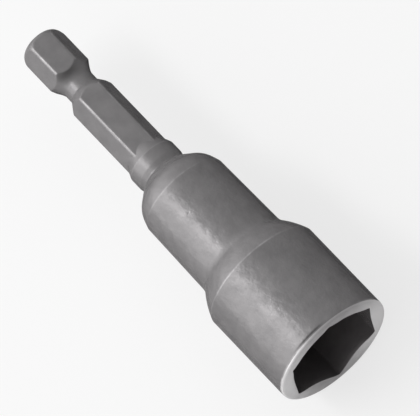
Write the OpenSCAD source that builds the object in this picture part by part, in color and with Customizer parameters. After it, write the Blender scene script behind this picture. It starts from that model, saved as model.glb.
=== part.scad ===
// One-hand magnetic impact socket with a quarter-inch hex power shank.
// The tool lies along X: the drive end is at the origin and the mouth faces +X.

/* [Drive shank] */
// Across flats of the hex shank
shank_af = 6.3; // [6.2:0.05:6.4]
// How much the hex's corners are turned down, on radius
corner_break = 0.137; // [0.05:0.001:0.2]
// Length of the hex from the drive end to the collar
shank_l = 24.4; // [20:0.1:30]
// Length of the rounded nose at the drive end
nose_l = 2.1; // [1.5:0.1:3]
// Fall of the nose from the corners to the flat drive end
nose_drop = 1.1; // [0.8:0.05:1.4]
// How far the nose bulges past a plain cone
nose_bulge = 0.29; // [0.1:0.01:0.35]
// Step up from the hex's corners to the collar
collar_step = 0.4; // [0.3:0.02:0.8]
// Length of the collar's full diameter
collar_l = 2.85; // [2:0.05:5]
// Length of the collar's tapered start
collar_lead_l = 0.87; // [0.6:0.01:1.2]
// Edge break at the collar's front
collar_edge = 0.12; // [0.05:0.01:0.2]
// Length of the hex spigot that is pressed into the body
spigot_l = 7; // [5:0.5:8.5]
// Edge break at the spigot's end
spigot_edge = 0.4; // [0.2:0.1:0.6]
// Air left between the spigot's end and the floor of its hole
spigot_gap = 0.2; // [0.1:0.05:0.5]

/* [Locking groove] */
// Distance from the drive end to the groove's first edge
groove_start = 6.8; // [5.5:0.1:8]
// Depth of the groove below the hex's corners
groove_depth = 1.03; // [0.8:0.01:1.25]
// Length of the flare on the drive side
groove_flare_l = 2.05; // [1.6:0.05:2.6]
// How far the flare is hollowed below a plain cone
groove_hollow = 0.18; // [0.05:0.01:0.25]
// Length of the groove's floor
groove_floor_l = 1.45; // [1:0.05:2]
// Length of the cone on the socket side
groove_cone_l = 1.75; // [1.4:0.05:2.4]

/* [Socket body] */
// Length of the straight cone at the start of the shoulder
shoulder_cone_l = 1.75; // [1.2:0.05:2.4]
// Rise of that cone above the collar
shoulder_cone_rise = 1.8; // [1.2:0.05:2.2]
// Length of the rounded part of the shoulder
shoulder_round_l = 3.4; // [2.6:0.1:4.5]
// How far the shoulder bulges past a plain cone
shoulder_bulge = 0.34; // [0.1:0.01:0.4]
// Wall of the barrel around the chamber, where the flare starts
barrel_wall_t = 2.02; // [1.6:0.02:2.6]
// How much slimmer the barrel is at the shoulder, on radius
barrel_taper = 0.2; // [0.05:0.05:0.4]
// Barrel length
barrel_l = 12.1; // [9.5:0.1:18]
// Length of the flare between barrel and socket head
flare_l = 4.3; // [3:0.1:6]
// How far the flare bulges past a plain cone
flare_bulge = 0.14; // [0.05:0.01:0.2]
// Wall of the socket head at the corners of the recess
head_wall_t = 1.26; // [1:0.02:2]
// Length of the socket head
head_l = 15.33; // [12:0.01:20]
// Rounding of the head's outer edge at the mouth
rim_round = 0.6; // [0.3:0.05:0.8]

/* [Nut recess] */
// Across flats of the nut recess
recess_af = 14; // [13:0.5:17]
// Depth of the nut recess
recess_depth = 12.6; // [9:0.1:15]
// Radius in the recess's corners
recess_corner_r = 0.35; // [0.2:0.05:0.6]
// Turn of the recess from the corners of the shank
recess_turn = 27; // [0:1:59]
// How far the lead-in cone reaches past the recess's corners
lead_in_over = 0.08; // [0:0.01:0.3]
// Slope of the lead-in cone from the mouth face
lead_in_slope = 30; // [20:1:45]

/* [Magnet set] */
// Magnet diameter
magnet_d = 8; // [6:0.5:9.5]
// Magnet length
magnet_l = 5; // [4:0.1:6]
// Edge break of the magnet
magnet_edge = 0.25; // [0.1:0.05:0.4]
// Clearance of the magnet in its carrier, on radius
magnet_clear = 0.02; // [0.01:0.01:0.05]
// Thickness of the buffer disc under the magnet
buffer_t = 0.6; // [0.3:0.1:1]
// Wall of the carrier's nose around the magnet
carrier_wall_t = 0.58; // [0.4:0.02:0.9]
// Floor of the carrier under the buffer disc
carrier_floor_t = 1.2; // [0.6:0.1:2]
// Running clearance of the carrier in the chamber, on radius
carrier_clear = 0.08; // [0.02:0.01:0.1]
// Edge break of the carrier
carrier_edge = 0.2; // [0.1:0.05:0.25]
// How far the carrier's nose stands into the recess
carrier_stand_out = 0.2; // [0:0.1:1]

/* [Retaining ring] */
// Wire diameter of the ring
ring_wire_d = 0.9; // [0.7:0.05:1.1]
// Gap between the ring and the carrier's nose
ring_nose_gap = 0.15; // [0.1:0.05:0.3]
// How far the ring stands into the chamber
ring_catch = 0.45; // [0.3:0.05:0.55]
// Clearance between the ring and its groove
ring_clear = 0.05; // [0.02:0.01:0.08]
// Distance from the recess floor back to the ring's centre
ring_setback = 1.5; // [1:0.1:2]
// Angle left open between the ring's ends
ring_opening = 40; // [20:5:80]
// Gap between the ring and the carrier at rest
stop_gap = 0.05; // [0.02:0.01:0.1]

/* [Spring] */
// Solid web between the spigot's hole and the chamber
web_t = 1.0; // [0.6:0.1:2]
// Wire diameter of the spring
spring_wire_d = 0.5; // [0.4:0.05:0.6]
// Gap between the spring and the chamber's wall
spring_side_gap = 0.45; // [0.3:0.05:0.8]
// Working turns
working_turns = 4; // [3:1:5]
// Pitch of the one close turn at each end
close_pitch = 0.95; // [0.92:0.01:1.1]
// Gap between the spring and each of its seats
spring_seat_gap = 0.02; // [0.01:0.01:0.05]

/* [Hidden] */
round_fn = 96;
arc_steps = 8;
// Overrun of every cut past the face that it opens
overrun = 1;

// Radii of the shank
hex_r = shank_af / 2 / cos(30);
corner_r = hex_r - corner_break;
collar_r = corner_r + collar_step;
groove_r = corner_r - groove_depth;

// Radii of the magnet set and the chamber around it, from the magnet outwards
magnet_r = magnet_d / 2;
magnet_seat_r = magnet_r + magnet_clear;
carrier_nose_r = magnet_seat_r + carrier_wall_t;
ring_wire_r = ring_wire_d / 2;
ring_centre_r = carrier_nose_r + ring_nose_gap + ring_wire_r;
ring_groove_r = ring_centre_r + ring_wire_r + ring_clear;
chamber_r = ring_centre_r - ring_wire_r + ring_catch;
skirt_r = chamber_r - carrier_clear;

// Radii of the body
shoulder_cone_r = collar_r + shoulder_cone_rise;
barrel_front_r = chamber_r + barrel_wall_t;
barrel_rear_r = barrel_front_r - barrel_taper;
recess_r = recess_af / 2 / cos(30);
head_r = recess_r + head_wall_t;
lead_in_r = recess_r + lead_in_over;

// Stations along the axis, counted from the drive end
collar_z = shank_l + collar_lead_l;
joint_z = collar_z + collar_l;
cone_end_z = joint_z + shoulder_cone_l;
barrel_z = cone_end_z + shoulder_round_l;
flare_z = barrel_z + barrel_l;
head_z = flare_z + flare_l;
mouth_z = head_z + head_l;
spigot_end_z = joint_z + spigot_l;
spigot_hole_z = spigot_end_z + spigot_gap;
chamber_z = spigot_hole_z + web_t;
recess_z = mouth_z - recess_depth;
ring_z = recess_z - ring_setback;
carrier_stop_z = ring_z - ring_wire_r - stop_gap;
carrier_front_z = recess_z + carrier_stand_out;
magnet_rear_z = carrier_front_z - magnet_l;
buffer_rear_z = magnet_rear_z - buffer_t;
carrier_rear_z = buffer_rear_z - carrier_floor_t;

// Stations of the locking groove
groove_floor_z = groove_start + groove_flare_l;
groove_floor_end_z = groove_floor_z + groove_floor_l;
groove_end_z = groove_floor_end_z + groove_cone_l;

// Points after p along a circular arc to q that rises to the left of the way there
function bow(p, q, rise) =
    let (
        chord = norm(q - p),
        along = (q - p) / chord,
        left = [-along[1], along[0]],
        half = 2 * atan(2 * rise / chord),
        radius = chord / (2 * sin(half)),
        middle = (p + q) / 2 + left * (rise - radius)
    )
    [for (k = [1:arc_steps])
        let (a = half * (2 * k / arc_steps - 1))
        middle + radius * (along * sin(a) + left * cos(a))];

// Lays a shape that is built along Z down along X
module lay() {
    rotate([0, 90, 0]) children();
}

// Solid of revolution through points given as [station, radius]
module turned(points) {
    last = points[len(points) - 1];
    rotate_extrude($fn = round_fn)
        polygon(concat([[0, points[0][0]]], [for (p = points) [p[1], p[0]]], [[0, last[0]]]));
}

// Round hole or bar from one station to another
module round_bar(radius, from_z, to_z) {
    translate([0, 0, from_z])
        cylinder(h = to_z - from_z, r = radius, $fn = round_fn);
}

// Hex hole or bar from one station to another, with flats above and below once it lies down
module hex_bar(from_z, to_z) {
    translate([0, 0, from_z])
        rotate(30)
            cylinder(h = to_z - from_z, r = hex_r, $fn = 6);
}

// Hexagon with a corner on the X axis and its corners rounded
module rounded_hex(af, round_r) {
    centre_r = (af / 2 - round_r) / cos(30);
    polygon([for (k = [0:5], a = [-30:15:30])
        centre_r * [cos(60 * k), sin(60 * k)] + round_r * [cos(60 * k + a), sin(60 * k + a)]]);
}

// Turned form that trims the hex bar: rounded nose, corners and locking groove
module shank_trim() {
    nose_start = [0, corner_r - nose_drop];
    nose_end = [nose_l, corner_r];
    flare_start = [groove_start, corner_r];
    flare_end = [groove_floor_z, groove_r];
    turned(concat(
        [nose_start], bow(nose_start, nose_end, nose_bulge),
        [flare_start], bow(flare_start, flare_end, -groove_hollow),
        [
            [groove_floor_end_z, groove_r],
            [groove_end_z, corner_r],
            [spigot_end_z - spigot_edge, corner_r],
            [spigot_end_z, corner_r - spigot_edge]
        ]
    ));
}

// Collar with a tapered start that runs down into the flats
module collar() {
    lead_root_r = hex_r / 2;
    lead_root_z = collar_z - collar_lead_l * (collar_r - lead_root_r) / collar_step;
    turned([
        [lead_root_z, lead_root_r],
        [collar_z, collar_r],
        [joint_z - collar_edge, collar_r],
        [joint_z, collar_r - collar_edge]
    ]);
}

// Hex shank with a rounded nose, a locking groove, a collar and a spigot
module drive_shank() {
    color([0.47, 0.46, 0.46]) lay() {
        intersection() {
            hex_bar(0, spigot_end_z);
            shank_trim();
        }
        collar();
    }
}

// Outer form of the body, from the joint at the collar to the mouth
module body_form() {
    cone_end = [cone_end_z, shoulder_cone_r];
    barrel_start = [barrel_z, barrel_rear_r];
    flare_start = [flare_z, barrel_front_r];
    head_start = [head_z, head_r];
    rim_start = [mouth_z - rim_round, head_r];
    rim_end = [mouth_z, head_r - rim_round];
    // A quarter circle rises above its chord by this much
    rim_rise = rim_round * (1 - cos(45));
    turned(concat(
        [[joint_z, collar_r], cone_end], bow(cone_end, barrel_start, shoulder_bulge),
        [flare_start], bow(flare_start, head_start, flare_bulge),
        [rim_start], bow(rim_start, rim_end, rim_rise)
    ));
}

// Six-point recess with a lead-in cone that cuts back the mouth between its corners
module nut_recess() {
    lead_in_l = (lead_in_r - recess_af / 2) * tan(lead_in_slope);
    translate([0, 0, recess_z])
        rotate(30 + recess_turn)
            linear_extrude(height = recess_depth + overrun)
                rounded_hex(recess_af, recess_corner_r);
    translate([0, 0, mouth_z - lead_in_l])
        cylinder(h = lead_in_l, r1 = recess_af / 2, r2 = lead_in_r, $fn = round_fn);
    round_bar(lead_in_r, mouth_z, mouth_z + overrun);
}

// Chamber for the magnet set, with the groove for its retaining ring
module magnet_chamber() {
    round_bar(chamber_r, chamber_z, recess_z + overrun);
    round_bar(ring_groove_r, ring_z - ring_wire_r - ring_clear, ring_z + ring_wire_r + ring_clear);
}

// One-piece body: shoulder, barrel, flare and socket head
module socket_body() {
    color([0.46, 0.45, 0.45]) lay() difference() {
        body_form();
        hex_bar(joint_z - overrun, spigot_hole_z);
        magnet_chamber();
        nut_recess();
    }
}

// Axial place of the spring's wire after a number of turns, with a close turn at each end
function wire_z(turns, turn_count, start_z, working_pitch) =
    start_z
    + min(turns, 1) * close_pitch
    + max(0, min(turns - 1, turn_count - 2)) * working_pitch
    + max(0, turns - (turn_count - 1)) * close_pitch;

// Compression spring between the web and the carrier
module magnet_spring() {
    wire_r = spring_wire_d / 2;
    coil_r = chamber_r - spring_side_gap - wire_r;
    turn_count = working_turns + 2;
    start_z = chamber_z + spring_seat_gap + wire_r;
    end_z = carrier_rear_z - spring_seat_gap - wire_r;
    working_pitch = (end_z - start_z - 2 * close_pitch) / working_turns;
    rings_per_turn = 8;
    sides = 6;
    last = turn_count * rings_per_turn;
    centres = [for (i = [0:last])
        let (turns = i / rings_per_turn)
        [coil_r * cos(360 * turns), coil_r * sin(360 * turns), wire_z(turns, turn_count, start_z, working_pitch)]];
    gaps = [for (i = [0:last], j = [i + rings_per_turn / 2:1:last]) norm(centres[j] - centres[i]) - spring_wire_d];
    echo(least_gap_between_turns = min(gaps));
    points = [for (i = [0:last], k = [0:sides - 1])
        let (turn_a = 360 * i / rings_per_turn, side_a = 360 * (k + 0.5) / sides)
        centres[i] + wire_r * [cos(side_a) * cos(turn_a), cos(side_a) * sin(turn_a), sin(side_a)]];
    faces = concat(
        [for (k = [1:sides - 2]) [0, k, k + 1]],
        [for (i = [0:last - 1], k = [0:sides - 1])
            [sides * i + k, sides * (i + 1) + k, sides * (i + 1) + (k + 1) % sides]],
        [for (i = [0:last - 1], k = [0:sides - 1])
            [sides * i + k, sides * (i + 1) + (k + 1) % sides, sides * i + (k + 1) % sides]],
        [for (k = [1:sides - 2]) [sides * last, sides * last + k + 1, sides * last + k]]
    );
    color([0.62, 0.62, 0.64]) lay() polyhedron(points, faces);
}

// Non-magnetic cup that slides in the chamber and holds the magnet
module magnet_carrier() {
    color([0.72, 0.6, 0.3]) lay() difference() {
        turned([
            [carrier_rear_z, skirt_r - carrier_edge],
            [carrier_rear_z + carrier_edge, skirt_r],
            [carrier_stop_z, skirt_r],
            [carrier_stop_z, carrier_nose_r],
            [carrier_front_z - carrier_edge, carrier_nose_r],
            [carrier_front_z, carrier_nose_r - carrier_edge]
        ]);
        round_bar(magnet_seat_r, buffer_rear_z, carrier_front_z + overrun);
    }
}

// Rubber disc that takes the knock off the magnet
module buffer_disc() {
    color([0.12, 0.12, 0.12]) lay() round_bar(magnet_r, buffer_rear_z, magnet_rear_z);
}

// Disc magnet, its front flush with the carrier's nose
module magnet() {
    color([0.75, 0.75, 0.77]) lay() turned([
        [magnet_rear_z, magnet_r - magnet_edge],
        [magnet_rear_z + magnet_edge, magnet_r],
        [carrier_front_z - magnet_edge, magnet_r],
        [carrier_front_z, magnet_r - magnet_edge]
    ]);
}

// Open wire ring, sprung into its groove ahead of the carrier
module retaining_ring() {
    color([0.35, 0.35, 0.37]) lay() translate([0, 0, ring_z])
        rotate(ring_opening / 2)
            rotate_extrude(angle = 360 - ring_opening, $fn = round_fn)
                translate([ring_centre_r, 0])
                    circle(r = ring_wire_r, $fn = 32);
}

drive_shank();
socket_body();
magnet_spring();
magnet_carrier();
buffer_disc();
magnet();
retaining_ring();
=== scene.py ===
import math

import bpy
import numpy as np
from mathutils import Matrix, Vector


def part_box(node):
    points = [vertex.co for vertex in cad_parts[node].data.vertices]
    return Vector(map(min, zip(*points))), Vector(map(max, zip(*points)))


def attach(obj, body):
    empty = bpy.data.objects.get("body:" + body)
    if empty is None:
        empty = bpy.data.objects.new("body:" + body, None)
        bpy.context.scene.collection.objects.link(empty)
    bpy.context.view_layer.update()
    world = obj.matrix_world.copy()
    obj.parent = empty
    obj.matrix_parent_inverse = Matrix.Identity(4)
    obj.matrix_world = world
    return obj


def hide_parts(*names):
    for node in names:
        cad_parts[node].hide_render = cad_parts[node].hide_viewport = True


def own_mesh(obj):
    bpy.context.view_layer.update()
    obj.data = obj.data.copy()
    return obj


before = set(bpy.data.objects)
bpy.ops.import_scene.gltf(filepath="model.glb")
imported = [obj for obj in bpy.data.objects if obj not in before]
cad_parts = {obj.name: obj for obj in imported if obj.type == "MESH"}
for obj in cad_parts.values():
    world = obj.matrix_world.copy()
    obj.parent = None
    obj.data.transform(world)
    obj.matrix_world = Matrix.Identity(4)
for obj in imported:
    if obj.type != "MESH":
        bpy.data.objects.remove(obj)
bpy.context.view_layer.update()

# Every profile is worked out in millimetres along the tool's axis X, and becomes metres in the mesh.
MM = 0.001

# Outer form, after the photograph
SHANK_AF = 6.3
SHANK_CORNER_ROUND = 0.55
CORNER_R = 3.55
EDGE_BLEND = 0.05
NOSE_L = 1.95
NOSE_FACE_R = 2.05
NOSE_WORN_L = 0.8
GROOVE_START = 6.85
GROOVE_FLOOR = 9.05
GROOVE_FLOOR_END = 10.4
GROOVE_END = 12.08
GROOVE_R = 2.47
FLARE_POWER = 1.45
# Where the painted shade on the groove's near wall lies along the axis
GROOVE_SHADE_CENTRE = 7.7
GROOVE_SHADE_HALF_L = 0.8
COLLAR_START = 24.4
COLLAR_FULL = 25.27
COLLAR_EDGE = 0.14
RELIEF_L = 0.95
RELIEF_SLOPE_L = 0.8
RELIEF_DEPTH = 0.18
SHOULDER_CONE_END = 29.87
SHOULDER_CONE_R = 5.7
SHOULDER_START_SLOPE = 44
SHOULDER_END_SLOPE = 18
BARREL_START = 32.55
BARREL_REAR_R = 6.98
BARREL_FRONT_R = 7.22
FLARE_START = 45.37
FLARE_BULGE = 0.14
FLARE_FILLET = 0.7
HEAD_START = 49.45
RIM_ROUND = 0.55

# Angles about the axis, in degrees: where the edge lines (wear with a painted highlight) and the rim's
# painted highlight are brightest, where the groove's painted shade is darkest, and the middle and half
# the width of the painted shadow line behind the rim
EDGE_HIGHLIGHT_ANGLE = 106
RIM_HIGHLIGHT_ANGLE = 169
GROOVE_SHADE_ANGLE = 100
RIM_SHADOW_ANGLE = 107
RIM_SHADOW_HALF_ANGLE = 16

# How strongly the edges are worn, where 1 or more is bright steel, and how far the wear reaches; the edge
# lines of the head and the barrel are wear with a painted highlight on one side
CORNER_WEAR = 0.34
CORNER_WEAR_HALF_L = 0.16
CORNER_WEAR_LOST = 0.15
CORNER_WEAR_FADE = 0.12
NOSE_WEAR = 0.45
COLLAR_WEAR = 0.35
COLLAR_WEAR_HALF_L = 0.08
HEAD_WEAR_AND_HIGHLIGHT = 0.6
HEAD_WEAR_LEAST = 0.35
HEAD_WEAR_HALF_L = 0.07
BARREL_WEAR_AND_HIGHLIGHT = 0.5
BARREL_WEAR_HALF_L = 0.12
# The rim's bright sectors set below are a painted highlight
RIM_PAINTED_HIGHLIGHT = 3
RIM_HIGHLIGHT_FADE = 0.2
RIM_HIGHLIGHT_AT_EDGE = 0.3

# How dark the painted shade in the groove and the painted shadow line behind the rim are, as values below
# 0, and how far they reach
GROOVE_PAINTED_SHADE = 0.6
GROOVE_SHADE_FULL_CUT = 0.08
RIM_SHADOW_LINE = 0.9
RIM_SHADOW_SETBACK = 0.08
RIM_SHADOW_HALF_L = 0.16

# Recess, chamber and the spigot with its hole
RECESS_AF = 14
RECESS_CORNER_R = 0.35
RECESS_CORNER_ANGLE = 27
RECESS_FLOOR = 52.4
LEAD_IN_R = 7.6
LEAD_IN_SLOPE = 27
CORNER_BREAK = 0.04
LEAD_IN_BLEND = 0.3
CHAMBER_FLOOR = 36.32
CHAMBER_R = 5.2
CHAMBER_FLOOR_EDGE = 0.3
CHAMBER_MOUTH_EDGE = 0.12
RECESS_FLOOR_EDGE = 0.15
HOLE_FLOOR = 35.32
SPIGOT_EDGE = 0.4
RING_GROOVE_R = 5.7
RING_GROOVE_HALF = 0.5

# Magnet set
CARRIER_NOSE_R = 4.6
CARRIER_SEAT_R = 4.02
CARRIER_STOP = 50.4
CARRIER_EDGE = 0.2
CARRIER_FINE_EDGE = 0.1
CARRIER_SEAT_ROW = 0.4
MAGNET_EDGE = 0.25
BUFFER_EDGE = 0.08
RING_OPENING_ANGLE = 40
SPRING_WIRE_R = 0.25
CLOSE_PITCH = 0.95
WORKING_TURNS = 4

# Edges that turn by more degrees than this stay sharp
SHARP_ANGLE = 38

# Degrees beside each corner of a hexagon where the mesh has extra columns
SHANK_CORNER_COLUMNS = (1.2, 2.4, 3.3, 3.9, 4.5, 5.4)
RECESS_CORNER_COLUMNS = (0.3, 0.6, 0.9, 1.25, 1.7, 2.4, 3.4)

# How many rows of faces on the outside, from the mouth back, have the bright rim's material
RIM_ROWS_OUTSIDE = 8

# Colours of the blasted steel: the shank and the body, the recess, worn places and places of painted
# shade
STEEL_DARK = (0.145, 0.141, 0.143)
STEEL_LIGHT = (0.172, 0.167, 0.169)
RECESS_DARK = (0.13, 0.121, 0.124)
RECESS_LIGHT = (0.155, 0.146, 0.149)
WORN_STEEL = (0.42, 0.41, 0.415)
PAINTED_SHADE_STEEL = (0.02, 0.019, 0.019)


def box_mm(node):
    """Lowest and highest corner of a CAD node, in millimetres."""
    low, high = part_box(node)
    return low / MM, high / MM


def radius_of(node):
    """Outer radius of a CAD node about the axis, in millimetres."""
    low, high = box_mm(node)
    return max(high.y, high.z, -low.y, -low.z)


SHANK_END = box_mm("drive_shank")[1].x
COLLAR_R = radius_of("drive_shank")
JOINT = box_mm("socket_body")[0].x
MOUTH = box_mm("socket_body")[1].x
HEAD_R = radius_of("socket_body")


# Profiles

def line(p, q, steps):
    """Points after p on the way to q, denser near both ends."""
    shares = 0.5 - 0.5 * np.cos(np.linspace(0, math.pi, steps + 1)[1:])
    return [(p[0] + (q[0] - p[0]) * s, p[1] + (q[1] - p[1]) * s) for s in shares]


def bow(p, q, rise, steps):
    """Points after p on a flat arc to q that rises to the left of the way."""
    along = np.subtract(q, p)
    left = np.array((-along[1], along[0])) / np.hypot(*along)
    shares = np.linspace(0, 1, steps + 1)[1:]
    return [tuple(np.add(p, along * s) + left * rise * 4 * s * (1 - s)) for s in shares]


def fillet(p, corner, q, size, steps):
    """Points of a rounding that starts and ends at a distance from the corner between p and q."""
    start = np.add(corner, np.subtract(p, corner) / np.hypot(*np.subtract(p, corner)) * size)
    end = np.add(corner, np.subtract(q, corner) / np.hypot(*np.subtract(q, corner)) * size)
    shares = np.linspace(0, 1, steps + 1)
    return [tuple((1 - s) ** 2 * start + 2 * s * (1 - s) * np.array(corner) + s ** 2 * end)
            for s in shares]


def hermite(p, q, slope_p, slope_q, steps):
    """Points after p on a smooth curve to q with given slopes in degrees."""
    length = q[0] - p[0]
    tangent_p = math.tan(math.radians(slope_p)) * length
    tangent_q = math.tan(math.radians(slope_q)) * length
    points = []
    for s in np.linspace(0, 1, steps + 1)[1:]:
        r = (2 * s ** 3 - 3 * s ** 2 + 1) * p[1] + (s ** 3 - 2 * s ** 2 + s) * tangent_p
        r += (3 * s ** 2 - 2 * s ** 3) * q[1] + (s ** 3 - s ** 2) * tangent_q
        points.append((p[0] + length * s, r))
    return points


def soft_min(a, b, width):
    """The smaller of two values, with a smooth change from one to the other."""
    return 0.5 * (a + b - np.sqrt((a - b) ** 2 + width ** 2))


def soft_max(a, b, width):
    """The larger of two values, with a smooth change from one to the other."""
    return 0.5 * (a + b + np.sqrt((a - b) ** 2 + width ** 2))


def hexagon(angles, af, corner_angle):
    """Radius of a sharp hexagon at given angles in degrees."""
    from_flat = (angles - corner_angle) % 60 - 30
    return af / 2 / np.cos(np.radians(from_flat))


def rounded_hexagon(angles, af, corner_angle, round_r):
    """Radius of a hexagon with rounded corners at given angles in degrees."""
    from_corner = np.radians((angles - corner_angle + 30) % 60 - 30)
    centre_r = (af / 2 - round_r) / math.cos(math.pi / 6)
    across = np.clip(round_r ** 2 - (centre_r * np.sin(from_corner)) ** 2, 0, None)
    arc_r = centre_r * np.cos(from_corner) + np.sqrt(across)
    arc_end = math.atan2(round_r / 2, centre_r + round_r * math.cos(math.pi / 6))
    return np.where(np.abs(from_corner) < arc_end, arc_r, hexagon(angles, af, corner_angle))


def peaks_around(angles, count, centre):
    """Share from 0 to 1 that peaks at a number of places around the axis, the first at a given angle."""
    return 0.5 + 0.5 * np.cos(np.radians(count * (angles - centre)))


# Meshes

def lathe(name, stations, radii, angles, materials, row_materials=None, wear_and_painted_light=None):
    """Closed mesh from rows of (station, radius) over the angles; the two end rows lie on the axis."""
    rows, columns = radii.shape
    turn = np.radians(angles)
    x = stations[1:-1] * MM
    y = radii[1:-1] * np.cos(turn) * MM
    z = radii[1:-1] * np.sin(turn) * MM
    points = np.stack([x, y, z], axis=2).reshape(-1, 3)
    poles = [(stations[0, 0] * MM, 0, 0), (stations[-1, 0] * MM, 0, 0)]
    first, last = len(points), len(points) + 1
    faces = []
    face_rows = []
    for j in range(columns):
        k = (j + 1) % columns
        faces.append((first, k, j))
        face_rows.append(0)
        for i in range(rows - 3):
            a, b = i * columns, (i + 1) * columns
            faces.append((a + j, a + k, b + k, b + j))
            face_rows.append(i + 1)
        b = (rows - 3) * columns
        faces.append((b + j, b + k, last))
        face_rows.append(rows - 2)
    mesh = bpy.data.meshes.new(name)
    mesh.from_pydata(points.tolist() + poles, [], faces)
    if wear_and_painted_light is not None:
        values = np.concatenate([wear_and_painted_light[1:-1].ravel(), wear_and_painted_light[0, :1], wear_and_painted_light[-1, :1]])
        mesh.attributes.new("wear_and_painted_light", "FLOAT", "POINT").data.foreach_set("value", values.astype(np.float32))
    if row_materials is not None:
        mesh.polygons.foreach_set("material_index", [row_materials[i] for i in face_rows])
    return finished(name, mesh, materials)


def finished(name, mesh, materials):
    """Object of a mesh, with its normals outside, smooth between its real edges."""
    for material in materials:
        mesh.materials.append(material)
    mesh.update()
    if signed_volume(mesh) < 0:
        mesh.flip_normals()
    mesh.shade_smooth()
    mesh.set_sharp_from_angle(angle=math.radians(SHARP_ANGLE))
    piece = bpy.data.objects.new(name, mesh)
    bpy.context.scene.collection.objects.link(piece)
    return piece


def signed_volume(mesh):
    """Six times the volume inside a closed mesh, below 0 where its normals point inwards."""
    mesh.calc_loop_triangles()
    points = np.array([v.co for v in mesh.vertices])
    corners = points[np.array([t.vertices for t in mesh.loop_triangles])]
    return np.einsum("ij,ij->i", corners[:, 0], np.cross(corners[:, 1], corners[:, 2])).sum()


def turned(name, points, materials, steps=96):
    """Plain turned piece from (station, radius) points that start and end on the axis."""
    angles = np.arange(steps) * 360 / steps
    rows = np.array(points, float)
    stations = np.repeat(rows[:, :1], steps, axis=1)
    radii = np.repeat(rows[:, 1:], steps, axis=1)
    return lathe(name, stations, radii, angles, materials)


def wire(name, centres, wire_r, sides, materials):
    """Round wire along a path of points, with domed ends."""
    centres = np.array(centres)
    tangents = np.gradient(centres, axis=0)
    tangents /= np.linalg.norm(tangents, axis=1)[:, None]
    rings = []
    dome_angles = [0, 25, 50, 72]
    dome_shares = np.sin(np.radians(dome_angles))
    for share in dome_shares[::-1]:
        dome_r = wire_r * math.sqrt(1 - share ** 2)
        rings.append((centres[0] - tangents[0] * wire_r * share, tangents[0], dome_r))
    for centre, tangent in zip(centres[1:-1], tangents[1:-1]):
        rings.append((centre, tangent, wire_r))
    for share in dome_shares:
        dome_r = wire_r * math.sqrt(1 - share ** 2)
        rings.append((centres[-1] + tangents[-1] * wire_r * share, tangents[-1], dome_r))
    points = []
    for centre, tangent, r in rings:
        side = np.cross(tangent, (1, 0, 0))
        side /= np.linalg.norm(side)
        up = np.cross(side, tangent)
        for k in range(sides):
            turn = 2 * math.pi * k / sides
            points.append(tuple((centre + r * (side * math.cos(turn) + up * math.sin(turn))) * MM))
    first, last = len(points), len(points) + 1
    points.append(tuple((centres[0] - tangents[0] * wire_r) * MM))
    points.append(tuple((centres[-1] + tangents[-1] * wire_r) * MM))
    faces = []
    for k in range(sides):
        n = (k + 1) % sides
        faces.append((first, n, k))
        for i in range(len(rings) - 1):
            a, b = i * sides, (i + 1) * sides
            faces.append((a + k, a + n, b + n, b + k))
        b = (len(rings) - 1) * sides
        faces.append((b + k, b + n, last))
    mesh = bpy.data.meshes.new(name)
    mesh.from_pydata(points, [], faces)
    return finished(name, mesh, materials)


# Materials

def new_material(name):
    """A new material, its node tree and its shader."""
    material = bpy.data.materials.new(name)
    material.use_nodes = True
    tree = material.node_tree
    return material, tree, tree.nodes["Principled BSDF"]


def computed(tree, operation, first, second):
    """Result of a math node on two values, each a number or a socket."""
    node = tree.nodes.new("ShaderNodeMath")
    node.operation = operation
    for socket, value in zip(node.inputs, (first, second)):
        if isinstance(value, bpy.types.NodeSocket):
            tree.links.new(value, socket)
        else:
            socket.default_value = value
    return node.outputs["Value"]


def noise(tree, grain_mm, detail, stretch=None):
    """Noise in object space with a grain of a given size; stretch scales the three axes."""
    coordinates = tree.nodes.new("ShaderNodeTexCoord").outputs["Object"]
    if stretch is not None:
        mapping = tree.nodes.new("ShaderNodeMapping")
        mapping.inputs["Scale"].default_value = stretch
        tree.links.new(coordinates, mapping.inputs["Vector"])
        coordinates = mapping.outputs["Vector"]
    texture = tree.nodes.new("ShaderNodeTexNoise")
    texture.inputs["Scale"].default_value = 1 / (grain_mm * MM)
    texture.inputs["Detail"].default_value = detail
    tree.links.new(coordinates, texture.inputs["Vector"])
    return texture.outputs["Fac"]


def ranged(tree, value, low, high, from_low=0.3, from_high=0.7):
    """Maps a noise's middle range to low and high."""
    node = tree.nodes.new("ShaderNodeMapRange")
    node.inputs["From Min"].default_value = from_low
    node.inputs["From Max"].default_value = from_high
    node.inputs["To Min"].default_value = low
    node.inputs["To Max"].default_value = high
    tree.links.new(value, node.inputs["Value"])
    return node.outputs["Result"]


def mixed(tree, factor, a, b):
    """Mix of two colours, each a colour or a socket."""
    node = tree.nodes.new("ShaderNodeMix")
    node.data_type = "RGBA"
    tree.links.new(factor, node.inputs["Factor"])
    for socket, colour in ((node.inputs[6], a), (node.inputs[7], b)):
        if isinstance(colour, bpy.types.NodeSocket):
            tree.links.new(colour, socket)
        else:
            socket.default_value = (*colour, 1)
    return node.outputs[2]


def bumped(tree, height, depth_mm, normal=None):
    """Normal bent by a height map of a given depth, on top of another normal where one is given."""
    node = tree.nodes.new("ShaderNodeBump")
    node.inputs["Strength"].default_value = 1.0
    node.inputs["Distance"].default_value = depth_mm * MM
    tree.links.new(height, node.inputs["Height"])
    if normal is not None:
        tree.links.new(normal, node.inputs["Normal"])
    return node.outputs["Normal"]


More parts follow.
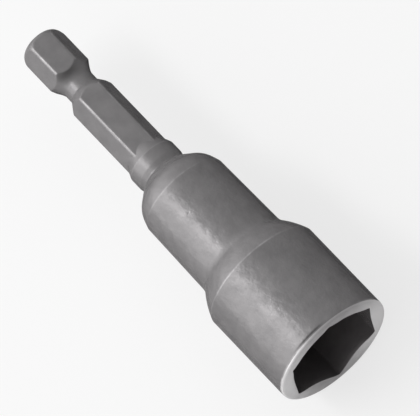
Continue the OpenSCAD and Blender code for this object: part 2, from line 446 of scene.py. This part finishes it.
def metal(name, dark, light, roughness, grain_mm, grain_depth_mm):
    """Metal with a mottled colour, a fine grain, and roughness between two values."""
    material, tree, shader = new_material(name)
    shader.inputs["Metallic"].default_value = 1.0
    mottle = ranged(tree, noise(tree, grain_mm=2.4, detail=4), low=0, high=1)
    colour = mixed(tree, mottle, dark, light)
    tree.links.new(colour, shader.inputs["Base Color"])
    varied = ranged(tree, noise(tree, grain_mm=0.9, detail=4), *roughness)
    tree.links.new(varied, shader.inputs["Roughness"])
    normal = bumped(tree, noise(tree, grain_mm, detail=3), grain_depth_mm)
    tree.links.new(normal, shader.inputs["Normal"])
    return material


def wear_and_painted_light_value(tree):
    """The mesh's wear and painted light: above 0 where it is worn or has a painted highlight, below 0
    where it has painted shade.
    """
    node = tree.nodes.new("ShaderNodeAttribute")
    node.attribute_name = "wear_and_painted_light"
    return node.outputs["Fac"]


def blasted_steel(name, dark, light, lumps_mm):
    """Grey steel, blasted dull, that scatters much light, with worn places, painted highlights and
    painted shade.
    """
    material, tree, shader = new_material(name)
    shader.inputs["Metallic"].default_value = 0.4
    shader.inputs["Specular IOR Level"].default_value = 0
    shader.inputs["Specular Tint"].default_value = (0.12, 0.12, 0.12, 1)
    mottle = ranged(tree, noise(tree, grain_mm=2.4, detail=4), low=0, high=1)
    colour = mixed(tree, mottle, dark, light)
    wear_light_and_shade = wear_and_painted_light_value(tree)
    # Values below 0 darken the colour as painted shade
    painted_shade = computed(tree, "MULTIPLY", wear_light_and_shade, -1)
    colour = mixed(tree, painted_shade, colour, PAINTED_SHADE_STEEL)
    fine_and_broad_patches = ((0.7, 0.4), (4.5, 0.3))
    for patch_mm, least in fine_and_broad_patches:
        patches = noise(tree, patch_mm, detail=3)
        patches = ranged(tree, patches, low=least, high=1, from_low=0.35, from_high=0.6)
        wear_light_and_shade = computed(tree, "MULTIPLY", wear_light_and_shade, patches)
    # Values above 0 brighten it: wear, and on the body also painted highlights
    tree.links.new(mixed(tree, wear_light_and_shade, colour, WORN_STEEL), shader.inputs["Base Color"])
    roughness = ranged(tree, noise(tree, grain_mm=0.9, detail=4), low=0.33, high=0.42)
    tree.links.new(roughness, shader.inputs["Roughness"])
    lumps = bumped(tree, noise(tree, grain_mm=0.9, detail=3), lumps_mm)
    normal = bumped(tree, noise(tree, grain_mm=0.16, detail=3), depth_mm=0.012, normal=lumps)
    tree.links.new(normal, shader.inputs["Normal"])
    return material


def turned_rim():
    """Bright steel that reflects as if turned in fine rings around the tool's axis."""
    material, tree, shader = new_material("turned_rim")
    shader.inputs["Metallic"].default_value = 0.6
    shader.inputs["Anisotropic"].default_value = 0.7
    shader.inputs["Anisotropic Rotation"].default_value = 0.25
    around = tree.nodes.new("ShaderNodeTangent")
    around.direction_type = "RADIAL"
    around.axis = "X"
    tree.links.new(around.outputs["Tangent"], shader.inputs["Tangent"])
    mottle = ranged(tree, noise(tree, grain_mm=1.2, detail=4), low=0, high=1)
    colour = mixed(tree, mottle, (0.28, 0.27, 0.275), (0.34, 0.33, 0.335))
    # Base colour brighter in two opposite sectors: a painted highlight
    painted_highlight = mixed(tree, wear_and_painted_light_value(tree), colour, (0.62, 0.61, 0.615))
    tree.links.new(painted_highlight, shader.inputs["Base Color"])
    roughness = ranged(tree, noise(tree, grain_mm=0.6, detail=3), low=0.45, high=0.55)
    tree.links.new(roughness, shader.inputs["Roughness"])
    normal = bumped(tree, noise(tree, grain_mm=0.4, detail=3), depth_mm=0.01)
    tree.links.new(normal, shader.inputs["Normal"])
    return material


def turned_brass():
    """Brass with fine rings from turning."""
    material, tree, shader = new_material("carrier_brass")
    shader.inputs["Metallic"].default_value = 1.0
    mottle = ranged(tree, noise(tree, grain_mm=1.5, detail=4), low=0, high=1)
    colour = mixed(tree, mottle, (0.62, 0.42, 0.16), (0.74, 0.55, 0.26))
    tree.links.new(colour, shader.inputs["Base Color"])
    roughness = ranged(tree, noise(tree, grain_mm=0.5, detail=3), low=0.24, high=0.38)
    tree.links.new(roughness, shader.inputs["Roughness"])
    rings = noise(tree, grain_mm=0.12, detail=2, stretch=(1, 0.02, 0.02))
    normal = bumped(tree, rings, depth_mm=0.008)
    tree.links.new(normal, shader.inputs["Normal"])
    return material


def soft_rubber():
    """Black rubber, dull and slightly uneven."""
    material, tree, shader = new_material("buffer_rubber")
    mottle = ranged(tree, noise(tree, grain_mm=0.8, detail=3), low=0, high=1)
    colour = mixed(tree, mottle, (0.018, 0.018, 0.018), (0.035, 0.034, 0.033))
    tree.links.new(colour, shader.inputs["Base Color"])
    roughness = ranged(tree, noise(tree, grain_mm=0.4, detail=3), low=0.6, high=0.8)
    tree.links.new(roughness, shader.inputs["Roughness"])
    normal = bumped(tree, noise(tree, grain_mm=0.2, detail=3), depth_mm=0.01)
    tree.links.new(normal, shader.inputs["Normal"])
    return material


# Pieces

def even_angles(steps, corner_angle, corner_offsets):
    """Even angles over the turn, with extra ones beside six corners."""
    corners = [corner_angle + 60 * k for k in range(6)]
    extra = [corner + side * offset
             for corner in corners for offset in corner_offsets for side in (-1, 1)]
    spread = max(corner_offsets)
    even = [a for a in np.arange(steps) * 360 / steps
            if abs((a - corner_angle + 30) % 60 - 30) > spread + 180 / steps]
    return np.unique(np.round(np.mod(extra + corners + even, 360), 4))


def shank_trim_radius(x):
    """Radius of the turned form that trims the hex, at station x."""
    if x < NOSE_L:
        return NOSE_FACE_R + (CORNER_R - NOSE_FACE_R) * math.sqrt(1 - (1 - x / NOSE_L) ** 2)
    if x < GROOVE_START or x > GROOVE_END:
        return CORNER_R
    if x < GROOVE_FLOOR:
        share = (GROOVE_FLOOR - x) / (GROOVE_FLOOR - GROOVE_START)
        return GROOVE_R + (CORNER_R - GROOVE_R) * share ** FLARE_POWER
    if x < GROOVE_FLOOR_END:
        return GROOVE_R
    return GROOVE_R + (CORNER_R - GROOVE_R) * (x - GROOVE_FLOOR_END) / (GROOVE_END - GROOVE_FLOOR_END)


def collar_radius(x):
    """Radius of the collar with its tapered start, at station x."""
    if x < COLLAR_FULL:
        return COLLAR_R - (COLLAR_FULL - x) * (COLLAR_R - CORNER_R) / (COLLAR_FULL - COLLAR_START)
    into_relief = min(max((x - (JOINT - RELIEF_L)) / RELIEF_SLOPE_L, 0), 1)
    return COLLAR_R - RELIEF_DEPTH * into_relief


def drive_shank(steel):
    """Hex shank from its rounded nose over the groove and the collar to the spigot in the body."""
    angles = even_angles(240, 0, SHANK_CORNER_COLUMNS)
    nose = [NOSE_L * (1 - math.cos(t)) for t in np.linspace(0, math.pi / 2, 18)]
    # The collar's taper starts a little below the flats
    below_flats_r = SHANK_AF / 2.15
    lead_l = COLLAR_FULL - COLLAR_START
    lead_root = COLLAR_FULL - lead_l * (COLLAR_R - below_flats_r) / (COLLAR_R - CORNER_R)
    # The mesh's rows lie close together where the form turns, and far apart on plain stretches
    nose_step = 0.4
    groove_step = 0.08
    plain_step = 0.8
    lead_step = 0.07
    collar_step = 0.25
    stations = np.concatenate([
        nose,
        np.arange(NOSE_L + nose_step, GROOVE_START - 0.3, nose_step),
        np.arange(GROOVE_START - 0.2, GROOVE_END + 0.3, groove_step),
        np.arange(GROOVE_END + 0.5, lead_root - 0.1, plain_step),
        np.arange(lead_root, COLLAR_FULL + 0.2, lead_step),
        np.arange(COLLAR_FULL + collar_step, JOINT - 1.1, collar_step),
        np.linspace(JOINT - 1, JOINT, 15)])
    bar = rounded_hexagon(angles, SHANK_AF, 0, SHANK_CORNER_ROUND)
    from_corner = np.radians((angles + 30) % 60 - 30) * CORNER_R
    corner_wear = np.exp(-(from_corner / CORNER_WEAR_HALF_L) ** 2)
    # Where the painted shade in the groove is darkest around the axis
    painted_shade = peaks_around(angles, count=3, centre=GROOVE_SHADE_ANGLE)
    rows = []
    wear_and_painted_light_rows = []
    for x in stations:
        trim = shank_trim_radius(x)
        row = soft_min(bar, trim, EDGE_BLEND)
        uncut = min(max((trim - CORNER_R + CORNER_WEAR_LOST) / CORNER_WEAR_FADE, 0), 1)
        wear_and_painted_light = CORNER_WEAR * corner_wear * uncut
        wear_and_painted_light = wear_and_painted_light + NOSE_WEAR * max(0, 1 - x / NOSE_WORN_L)
        # Painted shade on the groove's near wall, as wear below 0 where the groove cuts the bar
        cut = np.clip((bar - row) / GROOVE_SHADE_FULL_CUT, 0, 1)
        wear_and_painted_light = wear_and_painted_light - GROOVE_PAINTED_SHADE * painted_shade * cut * math.exp(-((x - GROOVE_SHADE_CENTRE) / GROOVE_SHADE_HALF_L) ** 2)
        if x >= lead_root:
            collar = collar_radius(x)
            wear_and_painted_light = wear_and_painted_light * (row > collar)
            edge_wear = COLLAR_WEAR * math.exp(-((x - COLLAR_FULL) / COLLAR_WEAR_HALF_L) ** 2)
            wear_and_painted_light = np.maximum(wear_and_painted_light, edge_wear)
            row = soft_max(row, collar, EDGE_BLEND / 2)
        rows.append(row)
        wear_and_painted_light_rows.append(wear_and_painted_light)
    for cut in (0, 0, SPIGOT_EDGE):
        rows.append(bar - cut)
        wear_and_painted_light_rows.append(np.zeros(len(angles)))
    spigot_stations = [JOINT, SHANK_END - SPIGOT_EDGE, SHANK_END, SHANK_END]
    stations = np.concatenate([[0, 0], stations[1:], spigot_stations])
    radii = np.array([rows[0] * 0, *rows, rows[0] * 0])
    wear_and_painted_light = np.array([wear_and_painted_light_rows[0] * 0, *wear_and_painted_light_rows, wear_and_painted_light_rows[0] * 0])
    grid = np.repeat(stations[:, None], len(angles), axis=1)
    return lathe("impact_shank", grid, radii, angles, [steel], wear_and_painted_light=wear_and_painted_light)


def outer_form():
    """The body's outside from the rim's rounding back to the joint, as (station, radius) points."""
    cone_end = (SHOULDER_CONE_END, SHOULDER_CONE_R)
    barrel_start = (BARREL_START, BARREL_REAR_R)
    flare_start = (FLARE_START, BARREL_FRONT_R)
    head_start = (HEAD_START, HEAD_R)
    rim = (MOUTH, HEAD_R)
    joint_break = [(JOINT, COLLAR_R - COLLAR_EDGE), (JOINT + COLLAR_EDGE / 2, COLLAR_R)]
    points = joint_break + line(joint_break[-1], cone_end, 8)
    points += hermite(cone_end, barrel_start, SHOULDER_START_SLOPE, SHOULDER_END_SLOPE, 16)
    hollow = fillet(barrel_start, flare_start, head_start, FLARE_FILLET, 8)
    points += line(barrel_start, hollow[0], 24) + hollow[1:]
    points += bow(hollow[-1], head_start, FLARE_BULGE, 14)
    rounding = fillet(head_start, rim, (MOUTH, 0), RIM_ROUND, 10)
    points += line(head_start, rounding[0], 30) + rounding[1:]
    return points[::-1]


def body_wear_and_painted_light(stations, angles):
    """Wear and painted light of the body's outside: worn edge lines with a painted highlight, a painted
    highlight on the rim and a short painted shadow line behind the rim.
    """
    wear_and_painted_light = 0
    worn_edges_with_painted_highlight = (
        (HEAD_START, HEAD_WEAR_HALF_L, HEAD_WEAR_AND_HIGHLIGHT, HEAD_WEAR_LEAST),
        (BARREL_START, BARREL_WEAR_HALF_L, BARREL_WEAR_AND_HIGHLIGHT, 0))
    # Worn edge lines, brightest on one side of the axis as a painted highlight
    for x, width, share, least in worn_edges_with_painted_highlight:
        around = least + (1 - least) * peaks_around(angles, count=3, centre=EDGE_HIGHLIGHT_ANGLE)
        wear_and_painted_light = wear_and_painted_light + share * around * np.exp(-((stations - x) / width) ** 2)
    # Painted highlight: the rim's rounding brighter in two opposite sectors
    rim = np.clip((stations - MOUTH + RIM_ROUND) / RIM_HIGHLIGHT_FADE + RIM_HIGHLIGHT_AT_EDGE, 0, 1)
    wear_and_painted_light = wear_and_painted_light + RIM_PAINTED_HIGHLIGHT * rim * peaks_around(angles, count=2, centre=RIM_HIGHLIGHT_ANGLE) ** 2
    # Painted shadow: a short dark line where the rim's rounding starts, on one side only
    from_rim_shadow = np.abs((angles - RIM_SHADOW_ANGLE + 180) % 360 - 180) / RIM_SHADOW_HALF_ANGLE
    rim_shadow_along = np.exp(-((stations - MOUTH + RIM_ROUND + RIM_SHADOW_SETBACK) / RIM_SHADOW_HALF_L) ** 2)
    return wear_and_painted_light - RIM_SHADOW_LINE * (rim_shadow_along * np.exp(-from_rim_shadow ** 4))


def socket_body(steel, recess_steel, rim_steel):
    """Hollow body: chamber and recess out to the mouth, then the outside, then the spigot's hole."""
    angles = even_angles(180, RECESS_CORNER_ANGLE, RECESS_CORNER_COLUMNS)
    ones = np.ones(len(angles))
    recess = rounded_hexagon(angles, RECESS_AF, RECESS_CORNER_ANGLE, RECESS_CORNER_R)
    lead_in = soft_max(LEAD_IN_R - recess, CORNER_BREAK, LEAD_IN_BLEND)
    mouth_edge = MOUTH - lead_in * math.tan(math.radians(LEAD_IN_SLOPE))
    ring_low, ring_high = box_mm("retaining_ring")
    ring = (ring_low.x + ring_high.x) / 2
    groove_rear = ring - RING_GROOVE_HALF
    groove_front = ring + RING_GROOVE_HALF
    inner_row_r = 3
    chamber = (
        (CHAMBER_FLOOR, 0), (CHAMBER_FLOOR, inner_row_r),
        (CHAMBER_FLOOR, CHAMBER_R - CHAMBER_FLOOR_EDGE),
        (CHAMBER_FLOOR + CHAMBER_FLOOR_EDGE, CHAMBER_R), (groove_rear, CHAMBER_R),
        (groove_rear, RING_GROOVE_R), (groove_front, RING_GROOVE_R), (groove_front, CHAMBER_R),
        (RECESS_FLOOR - CHAMBER_MOUTH_EDGE, CHAMBER_R), (RECESS_FLOOR, CHAMBER_R + CHAMBER_MOUTH_EDGE))
    inside = [(ones * x, ones * r) for x, r in chamber]
    floor_shares = (0.3, 0.6, 0.9)
    for share in floor_shares:
        inside.append((ones * RECESS_FLOOR, CHAMBER_R + (recess - CHAMBER_R) * share))
    inside.append((ones * RECESS_FLOOR, recess - RECESS_FLOOR_EDGE))
    inside.append((ones * (RECESS_FLOOR + RECESS_FLOOR_EDGE), recess))
    wall_shares = np.linspace(0.05, 1, 16)
    last_row_setback = 0.05
    for share in wall_shares:
        inside.append((RECESS_FLOOR + (mouth_edge - last_row_setback - RECESS_FLOOR) * share, recess))
    recess_rows = len(inside)
    lead_in_shares = (0.04, 0.1, 0.3, 0.6, 0.9, 1)
    for share in lead_in_shares:
        inside.append((mouth_edge + (MOUTH - mouth_edge) * share, recess + lead_in * share))
    outside = [(ones * x, ones * r) for x, r in outer_form()]
    rim_rows = range(recess_rows, len(inside) + RIM_ROWS_OUTSIDE)
    hole = rounded_hexagon(angles, SHANK_AF, 0, SHANK_CORNER_ROUND)
    back = [(ones * JOINT, hole), (ones * HOLE_FLOOR, hole), (ones * HOLE_FLOOR, ones * 0)]
    rows = inside + outside + back
    stations = np.array([row[0] for row in rows])
    radii = np.array([row[1] for row in rows])
    row_materials = [1 if i < recess_rows else 2 if i in rim_rows else 0 for i in range(len(rows))]
    wear_and_painted_light = body_wear_and_painted_light(stations, angles)
    wear_and_painted_light[:recess_rows] = 0
    # Painted highlight on the rim's rows, in two opposite sectors
    wear_and_painted_light[rim_rows] = peaks_around(angles, count=2, centre=RIM_HIGHLIGHT_ANGLE)
    wear_and_painted_light[-len(back):] = 0
    materials = [steel, recess_steel, rim_steel]
    return lathe("impact_body", stations, radii, angles, materials, row_materials, wear_and_painted_light)


def magnet_carrier(brass):
    """Brass cup around the magnet, with a wider skirt that the retaining ring stops."""
    low, high = box_mm("magnet_carrier")
    skirt_r = radius_of("magnet_carrier")
    nose_r = CARRIER_NOSE_R
    seat_r = CARRIER_SEAT_R
    stop = CARRIER_STOP
    edge = CARRIER_EDGE
    fine = CARRIER_FINE_EDGE
    inner_row_r = 2
    floor = box_mm("buffer_disc")[0].x
    return turned("brass_carrier", [
        (low.x, 0), (low.x, inner_row_r), (low.x, skirt_r - edge), (low.x + edge, skirt_r),
        (low.x + 2 * edge, skirt_r), (stop - fine, skirt_r), (stop, skirt_r - fine),
        (stop, nose_r + fine), (stop + fine, nose_r), (high.x - 2 * edge, nose_r),
        (high.x - edge, nose_r), (high.x - edge / 2, nose_r - edge / 4), (high.x, nose_r - edge),
        (high.x, seat_r + fine), (high.x - fine, seat_r), (high.x - CARRIER_SEAT_ROW, seat_r),
        (floor, seat_r), (floor, inner_row_r), (floor, 0)], [brass], steps=128)


def magnet_disc(nickel):
    """Disc magnet with rounded edges."""
    low, high = box_mm("magnet")
    r = radius_of("magnet")
    edge = MAGNET_EDGE
    round_front = fillet((high.x - edge, r), (high.x, r), (high.x, 0), edge, 5)
    round_rear = [(low.x + high.x - x, y) for x, y in round_front[::-1]]
    return turned("nickel_magnet", [
        (low.x, 0), (low.x, r - 3 * edge), *round_rear, (low.x + 2 * edge, r), (high.x - 2 * edge, r),
        *round_front, (high.x, r - 2 * edge), (high.x, r / 2), (high.x, 0)], [nickel], steps=128)


def buffer_disc(rubber):
    """Thin rubber disc under the magnet."""
    low, high = box_mm("buffer_disc")
    r = radius_of("buffer_disc")
    edge = BUFFER_EDGE
    return turned("rubber_buffer", [
        (low.x, 0), (low.x, r - edge), (low.x + edge, r),
        (high.x - edge, r), (high.x, r - edge), (high.x, 0)], [rubber])


def retaining_ring(steel):
    """Open wire ring with its gap at the bottom."""
    low, high = box_mm("retaining_ring")
    wire_r = (high.x - low.x) / 2
    centre_r = radius_of("retaining_ring") - wire_r
    dome = math.degrees(wire_r / centre_r)
    half_opening = RING_OPENING_ANGLE / 2
    row_count = 97
    turns = np.radians(np.linspace(half_opening + dome, 360 - half_opening - dome, row_count))
    centres = [(low.x + wire_r, centre_r * math.sin(a), -centre_r * math.cos(a)) for a in turns]
    return wire("ring_clip", centres, wire_r, sides=16, materials=[steel])


def magnet_spring(steel):
    """Compression spring with a close turn at each end."""
    low, high = box_mm("magnet_spring")
    coil_r = radius_of("magnet_spring") - SPRING_WIRE_R
    start = low.x + SPRING_WIRE_R
    end = high.x - SPRING_WIRE_R
    pitch = (end - start - 2 * CLOSE_PITCH) / WORKING_TURNS
    turn_count = WORKING_TURNS + 2
    steps_per_turn = 32
    centres = []
    for t in np.linspace(0, turn_count, turn_count * steps_per_turn + 1):
        x = start + min(t, 1) * CLOSE_PITCH + max(0, min(t - 1, WORKING_TURNS)) * pitch
        x += max(0, t - WORKING_TURNS - 1) * CLOSE_PITCH
        turn = 2 * math.pi * t
        centres.append((x, coil_r * math.sin(turn), -coil_r * math.cos(turn)))
    return wire("coil_spring", centres[1:-1], SPRING_WIRE_R, sides=12, materials=[steel])


def add(piece, body, node):
    """Puts a piece on its body, in place of its CAD node."""
    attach(piece, body)
    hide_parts(node)
    return piece


# Stage, light and camera

def seen_share(tree):
    """1 for rays from the camera and from mirror-like or clear surfaces, 0 for the rest."""
    path = tree.nodes.new("ShaderNodeLightPath").outputs
    mirrored = computed(tree, "MAXIMUM", path["Is Glossy Ray"], path["Is Transmission Ray"])
    return computed(tree, "MAXIMUM", path["Is Camera Ray"], mirrored)


def floor_material(glow_share):
    """Pale floor that the camera and reflections see as nearly white, with the object's shadow on it."""
    material, tree, shader = new_material("pale_floor")
    colour = mixed(tree, noise(tree, grain_mm=60, detail=2), (0.66, 0.66, 0.66), (0.68, 0.68, 0.68))
    tree.links.new(colour, shader.inputs["Base Color"])
    shader.inputs["Roughness"].default_value = 0.9
    shader.inputs["Specular IOR Level"].default_value = 0.1
    glow = tree.nodes.new("ShaderNodeEmission")
    blend = tree.nodes.new("ShaderNodeMixShader")
    tree.links.new(computed(tree, "MULTIPLY", seen_share(tree), glow_share), blend.inputs["Fac"])
    tree.links.new(shader.outputs["BSDF"], blend.inputs[1])
    tree.links.new(glow.outputs["Emission"], blend.inputs[2])
    tree.links.new(blend.outputs["Shader"], tree.nodes["Material Output"].inputs["Surface"])
    return material


def add_floor(half_size, glow_share):
    """Square floor that the tool's head lies on."""
    x = MOUTH * MM / 2
    z = -HEAD_R * MM
    corners = [(x + a * half_size, b * half_size, z) for a, b in ((-1, -1), (1, -1), (1, 1), (-1, 1))]
    mesh = bpy.data.meshes.new("floor")
    mesh.from_pydata(corners, [], [(0, 1, 2, 3)])
    mesh.materials.append(floor_material(glow_share))
    floor = bpy.data.objects.new("floor", mesh)
    bpy.context.scene.collection.objects.link(floor)


def add_light(name, direction, distance, width, height, radiance):
    """Soft box in a direction from the object, with its long side along X."""
    light = bpy.data.lights.new(name, "AREA")
    light.shape = "RECTANGLE"
    light.size = width
    light.size_y = height
    light.energy = radiance * math.pi * width * height
    lamp = bpy.data.objects.new(name, light)
    away = Vector(direction).normalized()
    target = Vector((MOUTH * MM / 2, 0, 0))
    side = Vector((1, 0, 0)) - away * away.x
    side.normalize()
    up = away.cross(side)
    lamp.matrix_world = Matrix((side, up, away)).transposed().to_4x4()
    lamp.location = target + away * distance
    bpy.context.scene.collection.objects.link(lamp)
    return lamp


def add_world(lobes):
    """Light from broad lobes of (direction, strength, power); where it shows, it is at least white."""
    world = bpy.data.worlds.new("studio")
    world.use_nodes = True
    tree = world.node_tree
    background = tree.nodes["Background"]
    background.inputs["Color"].default_value = (1, 1, 1, 1)
    view = tree.nodes.new("ShaderNodeTexCoord").outputs["Generated"]
    total = 0
    for direction, strength, power in lobes:
        towards = tree.nodes.new("ShaderNodeVectorMath")
        towards.operation = "DOT_PRODUCT"
        tree.links.new(view, towards.inputs[0])
        towards.inputs[1].default_value = Vector(direction).normalized()
        share = computed(tree, "POWER", computed(tree, "MAXIMUM", towards.outputs["Value"], 0), power)
        total = computed(tree, "ADD", computed(tree, "MULTIPLY", share, strength), total)
    missing = computed(tree, "MAXIMUM", computed(tree, "SUBTRACT", 1, total), 0)
    shown = computed(tree, "ADD", total, computed(tree, "MULTIPLY", missing, seen_share(tree)))
    tree.links.new(shown, background.inputs["Strength"])
    bpy.context.scene.world = world


def add_camera():
    """Camera that sees the mouth's centre at its pixel of the 420 by 416 photograph."""
    axis_to_view = math.radians(67.41)
    axis_in_image = math.radians(46.18)
    view_turn = math.radians(99)
    mouth_pixel = (334.32, 351.23)
    frame_centre = (210, 208)
    frame_width = 420
    focal_pixels = 8638.3
    distance = 1.2
    sensor = 36
    towards = Vector((math.cos(axis_to_view), math.sin(axis_to_view) * math.cos(view_turn),
                      math.sin(axis_to_view) * math.sin(view_turn)))
    along = (Vector((1, 0, 0)) - towards * towards.x).normalized()
    across = Vector((0, -math.sin(view_turn), math.cos(view_turn)))
    right = along * math.cos(axis_in_image) - across * math.sin(axis_in_image)
    down = along * math.sin(axis_in_image) + across * math.cos(axis_in_image)
    place = Vector((MOUTH * MM, 0, 0)) + towards * distance
    place -= right * (mouth_pixel[0] - frame_centre[0]) / focal_pixels * distance
    place -= down * (mouth_pixel[1] - frame_centre[1]) / focal_pixels * distance
    data = bpy.data.cameras.new("camera")
    data.sensor_width = sensor
    data.lens = focal_pixels * sensor / frame_width
    camera = bpy.data.objects.new("camera", data)
    camera.matrix_world = Matrix((right, -down, towards)).transposed().to_4x4()
    camera.location = place
    bpy.context.scene.collection.objects.link(camera)
    bpy.context.scene.camera = camera


shank_steel = blasted_steel("shank_steel", STEEL_DARK, STEEL_LIGHT, lumps_mm=0.03)
body_steel = blasted_steel("body_steel", STEEL_DARK, STEEL_LIGHT, lumps_mm=0.08)
recess_steel = blasted_steel("recess_steel", RECESS_DARK, RECESS_LIGHT, lumps_mm=0.02)
spring_steel = metal("spring_steel", dark=(0.42, 0.42, 0.43), light=(0.52, 0.52, 0.53),
                     roughness=(0.25, 0.35), grain_mm=0.1, grain_depth_mm=0.002)
ring_steel = metal("ring_steel", dark=(0.1, 0.1, 0.105), light=(0.14, 0.14, 0.145),
                   roughness=(0.35, 0.5), grain_mm=0.12, grain_depth_mm=0.004)
magnet_nickel = metal("magnet_nickel", dark=(0.56, 0.55, 0.52), light=(0.64, 0.63, 0.6),
                      roughness=(0.18, 0.3), grain_mm=0.3, grain_depth_mm=0.002)

add(drive_shank(shank_steel), "tool", "drive_shank")
add(socket_body(body_steel, recess_steel, turned_rim()), "tool", "socket_body")
add(retaining_ring(ring_steel), "tool", "retaining_ring")
add(magnet_carrier(turned_brass()), "magnet_unit", "magnet_carrier")
add(magnet_disc(magnet_nickel), "magnet_unit", "magnet")
add(buffer_disc(soft_rubber()), "magnet_unit", "buffer_disc")
spring = add(magnet_spring(spring_steel), "tool", "magnet_spring")
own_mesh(spring)

add_floor(half_size=0.25, glow_share=0.72)
add_light("key_light", direction=(-0.375, -0.609, 0.701), distance=0.7, width=0.5, height=0.13,
          radiance=11.5)
add_world([
    ((-1, 0, 0), 0.7, 2),
    ((0, -1, 0), 2.1, 2),
    ((-0.7, -0.7, 0.1), 2.7, 3),
    ((-0.38, 0.62, 0.69), 1.0, 4)])
add_camera()
bpy.context.scene.view_settings.view_transform = "Standard"
